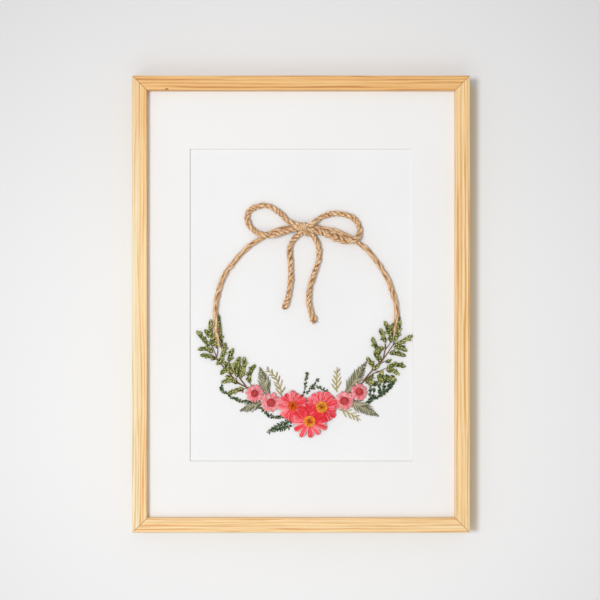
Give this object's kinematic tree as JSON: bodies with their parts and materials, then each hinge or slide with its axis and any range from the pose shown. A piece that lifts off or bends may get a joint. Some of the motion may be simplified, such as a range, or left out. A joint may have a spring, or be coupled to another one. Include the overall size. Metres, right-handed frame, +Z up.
{
  "type": "pressed flower frame",
  "caption": "Hanging pine picture frame with a white mat around a half wreath of pressed daisies, ferns and leafy sprays, on a hoop of jute cord tied in a bow.",
  "frame": {"origin": "where the wall's nail carries the sawtooth hanger, on the wall's plane behind the middle of the top rail", "axes": "+Z up the frame, +Y into the wall, so the front faces -Y and +X is to the right seen from the front"},
  "size_m": [0.317, 0.0259, 0.429],
  "materials": {
    "pine": "pale natural pine with fine streaks along each rail, satin",
    "mat_white": "matt white mat board with a cream core in its bevel",
    "card_white": "matt white card",
    "hardboard": "brown pressed board",
    "steel": "zinc plated",
    "jute": "rough twisted natural jute with loose fibres",
    "coral_petal": "matt pressed petal with fine veins, darker where petals overlap",
    "yellow_disc": "granular, yellow to orange brown",
    "pink_petal": "matt pressed petal with darker veins",
    "rose_disc": "granular dark rose",
    "grey_leaf": "matt grey olive pressed leaf with a pale midrib",
    "olive_fern": "matt yellow olive pressed fern",
    "spray_green": "matt olive green small overlapping leaves on brown twigs",
    "dark_green": "matt dark blue green tiny leaves on thin stems"
  },
  "bodies": {
    "root": {"back_board": "hardboard", "comb_fern_1": "olive_fern", "comb_fern_2": "olive_fern", "comb_fern_3": "olive_fern", "coral_daisy_1_disc": "yellow_disc", "coral_daisy_1_petals": "coral_petal", "coral_daisy_2_disc": "yellow_disc", "coral_daisy_2_petals": "coral_petal", "coral_daisy_3_disc": "yellow_disc", "coral_daisy_3_petals": "coral_petal", "dark_sprig_left_vine": "dark_green", "dark_sprig_low_left": "dark_green", "dark_sprig_right_vine": "dark_green", "dark_sprig_top_left": "dark_green", "dark_sprig_top_right": "dark_green", "framers_point_1": "steel", "framers_point_2": "steel", "framers_point_3": "steel", "framers_point_4": "steel", "framers_point_5": "steel", "framers_point_6": "steel", "framers_point_7": "steel", "framers_point_8": "steel", "hanger_nail_left": "steel", "hanger_nail_right": "steel", "jute_bow": "jute", "jute_hoop": "jute", "left_spray_inner_branch": "spray_green", "left_spray_low_spike": "spray_green", "left_spray_lower_branch": "spray_green", "left_spray_middle_branch": "spray_green", "left_spray_outer_branch": "spray_green", "left_spray_stem": "spray_green", "left_spray_tip": "spray_green", "left_spray_upright_sprig": "spray_green", "mat_board": "mat_white", "pink_daisy_1_disc": "rose_disc", "pink_daisy_1_petals": "pink_petal", "pink_daisy_2_disc": "rose_disc", "pink_daisy_2_petals": "pink_petal", "pink_daisy_3_disc": "rose_disc", "pink_daisy_3_petals": "pink_petal", "pink_daisy_4_disc": "rose_disc", "pink_daisy_4_petals": "pink_petal", "rail_bottom": "pine", "rail_left": "pine", "rail_right": "pine", "rail_top": "pine", "right_spray_inner_branch": "spray_green", "right_spray_lower_branch": "spray_green", "right_spray_near_branch": "spray_green", "right_spray_outer_branch": "spray_green", "right_spray_stem": "spray_green", "right_spray_tip": "spray_green", "sawtooth_hanger": "steel", "serrated_leaf_1": "grey_leaf", "serrated_leaf_2": "grey_leaf", "serrated_leaf_3": "grey_leaf", "serrated_leaf_4": "grey_leaf", "wreath_card": "card_white"}
  },
  "joints": []
}
